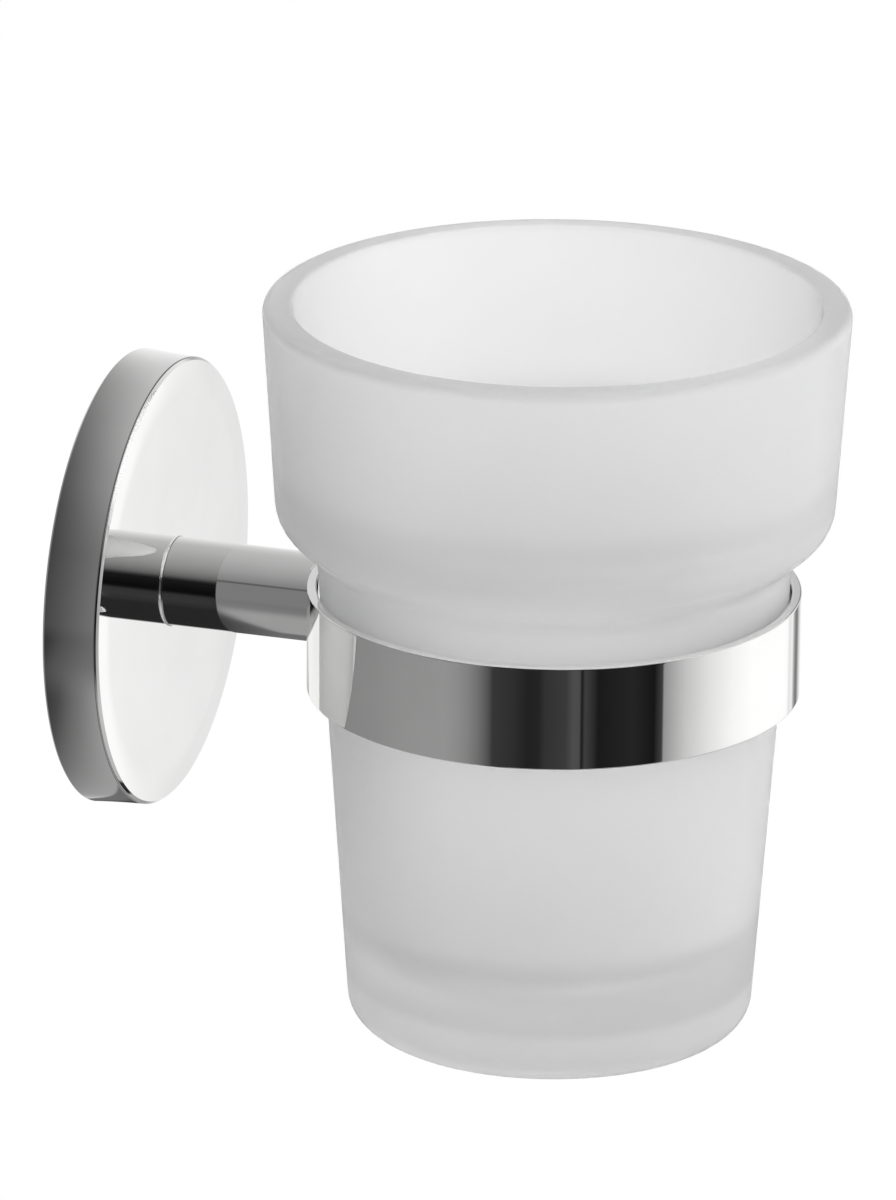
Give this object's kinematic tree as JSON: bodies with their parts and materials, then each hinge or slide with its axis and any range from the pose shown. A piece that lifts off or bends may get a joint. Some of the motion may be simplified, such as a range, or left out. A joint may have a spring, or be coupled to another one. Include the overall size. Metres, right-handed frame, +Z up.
{
  "type": "tumbler holder",
  "caption": "Wall-mounted chrome tumbler holder: round escutcheon, plain round arm and flat ring that carries a tapered frosted glass tumbler with a wider bowl.",
  "frame": {"origin": "on the wall plane, on the arm's axis, at the middle of the wall bracket's back face", "axes": "+Y into the wall, so the holder stands out along -Y; +Z up, along the ring's and the tumbler's axis; +X across"},
  "size_m": [0.0766, 0.0986, 0.0988],
  "materials": {
    "chrome": "polished",
    "zinc_steel": "zinc plated",
    "screw_steel": "plain",
    "frosted_glass": "satin etched"
  },
  "bodies": {
    "holder": {"wall_bracket": "zinc_steel", "escutcheon": "chrome", "grub_screw": "screw_steel", "arm": "chrome", "arm_screw": "screw_steel", "spring_washer": "screw_steel", "ring": "chrome"},
    "tumbler": {"tumbler": "frosted_glass"}
  },
  "joints": [
    {"name": "tumbler_lift", "type": "slide", "parent": "holder", "child": "tumbler", "axis": [0, 0, 1], "range_m": [0, 0.09]}
  ]
}
